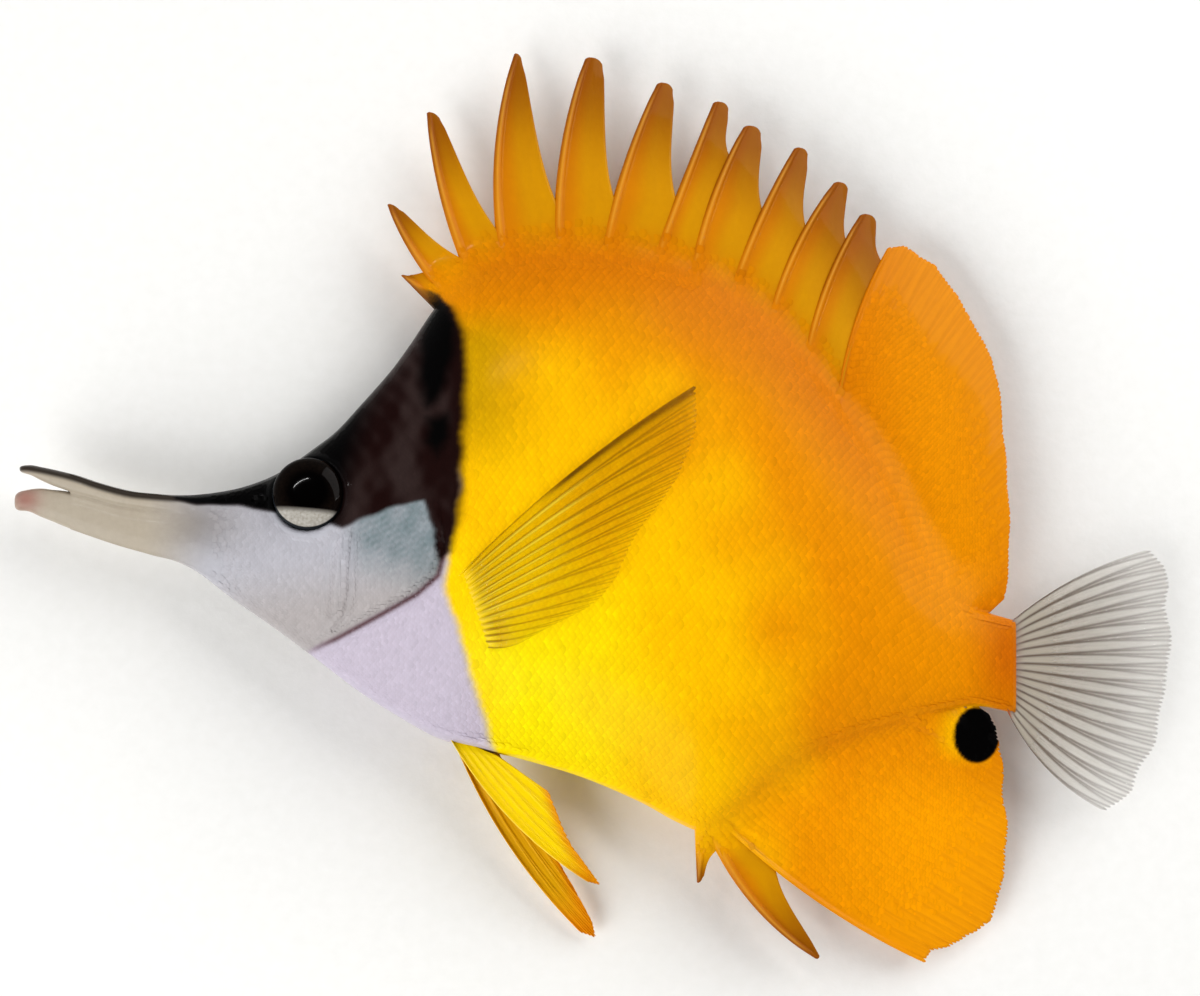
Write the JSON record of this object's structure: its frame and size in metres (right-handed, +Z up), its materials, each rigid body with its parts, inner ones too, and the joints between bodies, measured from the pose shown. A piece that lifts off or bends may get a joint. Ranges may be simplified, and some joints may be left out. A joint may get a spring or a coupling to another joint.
{
  "type": "longnose butterflyfish",
  "caption": "Life-size still model of a longnose butterflyfish lying on its right side: deep flat body, long slender snout, fins spread.",
  "frame": {"origin": "on the surface the fish rests on, below the middle of the outstretched fish's box", "axes": "+X from snout to tail fin, +Y from belly to back, +Z up, out of the left flank; the fish lies on its right flank"},
  "size_m": [0.1374, 0.1094, 0.0184],
  "materials": {
    "mask_and_cheek": "wet skin, black above the eye line and silver grey below",
    "yellow_flank": "wet scaled skin, lemon yellow to orange",
    "orange_fin": "wet fin skin with spines and rays",
    "jaw_grey": "wet grey-pink skin, dark along the top",
    "clear_fin": "see-through web between fine rays",
    "yellow_fin": "yellow fin skin with fine rays",
    "eye": "wet black eye with a silver crescent below"
  },
  "bodies": {
    "root": {"head": "mask_and_cheek", "trunk": "yellow_flank", "tail_stem": "yellow_flank", "upper_jaw": "jaw_grey", "lower_jaw": "jaw_grey", "eye_left": "eye", "eye_right": "eye", "dorsal_fin_spines": "orange_fin", "dorsal_fin_rays": "orange_fin", "anal_fin_spines": "orange_fin", "anal_fin_rays": "orange_fin", "caudal_fin": "clear_fin", "pectoral_fin_left": "clear_fin", "pectoral_fin_right": "clear_fin", "pelvic_fin_left": "yellow_fin", "pelvic_fin_right": "yellow_fin"}
  },
  "joints": []
}
